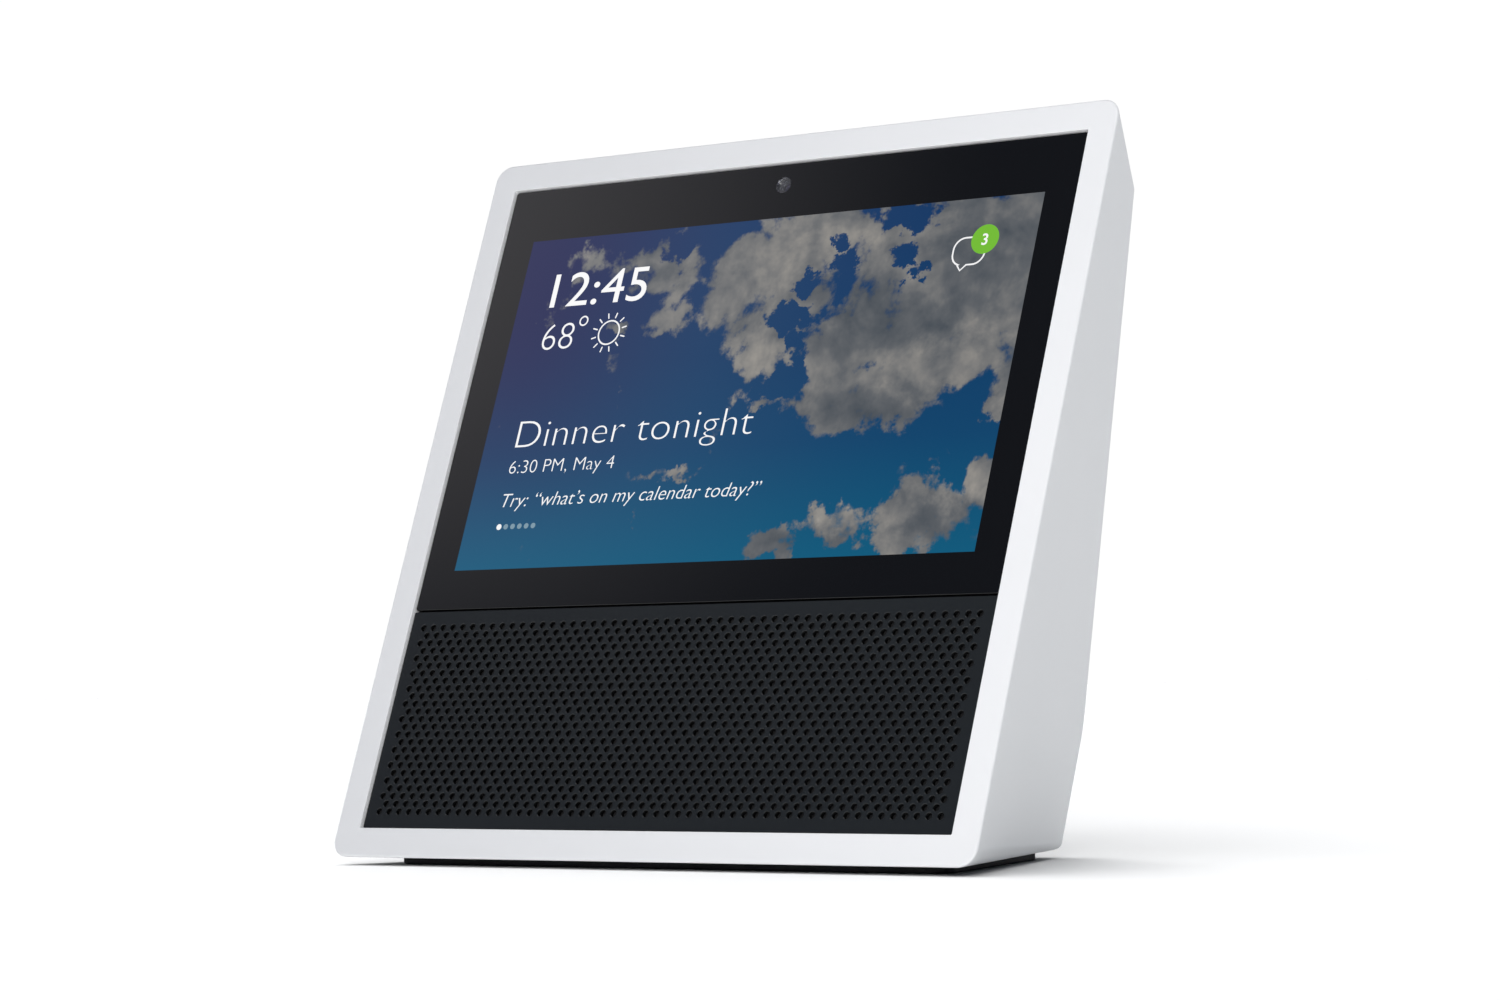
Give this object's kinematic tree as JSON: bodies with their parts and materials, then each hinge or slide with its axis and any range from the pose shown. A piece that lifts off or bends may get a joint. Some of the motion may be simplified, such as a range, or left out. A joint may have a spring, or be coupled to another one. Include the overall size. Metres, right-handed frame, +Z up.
{
  "type": "smart display",
  "caption": "Table-top smart display: leaning square face with a 7-inch screen over a speaker grille, in a white wedge housing with three sprung buttons on top.",
  "frame": {"origin": "centre of the bounding box, on the table under the foot", "axes": "+X to the right seen from the front, +Y to the back, +Z up; the face looks along -Y and leans back"},
  "size_m": [0.1872, 0.0902, 0.1761],
  "materials": {
    "white_housing": "white plastic with a fine satin texture",
    "dark_plastic": "moulded black plastic",
    "foot_rubber": "matt black rubber",
    "cable_rubber": "black wire jacket",
    "surround_rubber": "soft black half roll",
    "black_glass": "glossy glass with a black printed border",
    "lens_glass": "dark coated lens",
    "screen": "lit colour display",
    "backlight_tray": "folded metal tray",
    "grille": "charcoal, finely textured",
    "acoustic_fabric": "fine black woven mesh",
    "foam_tape": "thin black foam tape",
    "steel": "plain zinc-plated steel",
    "aluminium": "plain sheet",
    "copper": "wound enamelled copper wire",
    "cone_paper": "pressed black paper",
    "circuit_board": "green solder mask",
    "flat_cable": "amber polyimide"
  },
  "bodies": {
    "display": {"acoustic_mesh": "acoustic_fabric", "backlight_unit": "backlight_tray", "base_plate": "dark_plastic", "base_screw_1": "steel", "base_screw_2": "steel", "base_screw_3": "steel", "base_screw_4": "steel", "button_board": "circuit_board", "camera_flex": "flat_cable", "camera_lens": "lens_glass", "camera_module": "dark_plastic", "chassis_screw_left_high": "steel", "chassis_screw_left_low": "steel", "chassis_screw_right_high": "steel", "chassis_screw_right_low": "steel", "cover_glass": "black_glass", "foot_pad": "foot_rubber", "front_chassis": "dark_plastic", "glass_adhesive": "foam_tape", "heat_spreader": "aluminium", "housing": "white_housing", "io_board": "circuit_board", "io_cable": "cable_rubber", "lcd_flex": "flat_cable", "lcd_panel": "screen", "left_antenna": "circuit_board", "left_driver_frame": "steel", "left_magnet": "steel", "left_mic_board": "circuit_board", "left_speaker_lead": "cable_rubber", "left_spider": "acoustic_fabric", "left_surround": "surround_rubber", "main_board": "circuit_board", "mute_switch": "dark_plastic", "power_jack": "dark_plastic", "right_antenna": "circuit_board", "right_driver_frame": "steel", "right_magnet": "steel", "right_mic_board": "circuit_board", "right_speaker_lead": "cable_rubber", "right_spider": "acoustic_fabric", "right_surround": "surround_rubber", "shield_can": "steel", "speaker_enclosure": "dark_plastic", "speaker_grille": "grille", "usb_port": "steel", "volume_down_switch": "dark_plastic", "volume_up_switch": "dark_plastic"},
    "mute": {"mute_button": "white_housing", "mute_plunger": "dark_plastic"},
    "volume_down": {"volume_down_button": "white_housing", "volume_down_plunger": "dark_plastic"},
    "volume_up": {"volume_up_button": "white_housing", "volume_up_plunger": "dark_plastic"},
    "left_voice": {"left_cone": "cone_paper", "left_voice_coil": "copper"},
    "right_voice": {"right_cone": "cone_paper", "right_voice_coil": "copper"}
  },
  "joints": [
    {"name": "mute_press", "type": "slide", "parent": "display", "child": "mute", "axis": [0, -0.629, -0.7774], "range_m": [0, 0.0005], "stiffness_N_per_m": 2500},
    {"name": "volume_down_press", "type": "slide", "parent": "display", "child": "volume_down", "axis": [0, -0.629, -0.7774], "range_m": [0, 0.0005], "stiffness_N_per_m": 2500},
    {"name": "volume_up_press", "type": "slide", "parent": "display", "child": "volume_up", "axis": [0, -0.629, -0.7774], "range_m": [0, 0.0005], "stiffness_N_per_m": 2500},
    {"name": "left_cone_travel", "type": "slide", "parent": "display", "child": "left_voice", "axis": [0, -0.9313, 0.3642], "range_m": [-0.0015, 0.0015], "stiffness_N_per_m": 1000},
    {"name": "right_cone_travel", "type": "slide", "parent": "display", "child": "right_voice", "axis": [0, -0.9313, 0.3642], "range_m": [-0.0015, 0.0015], "stiffness_N_per_m": 1000}
  ]
}
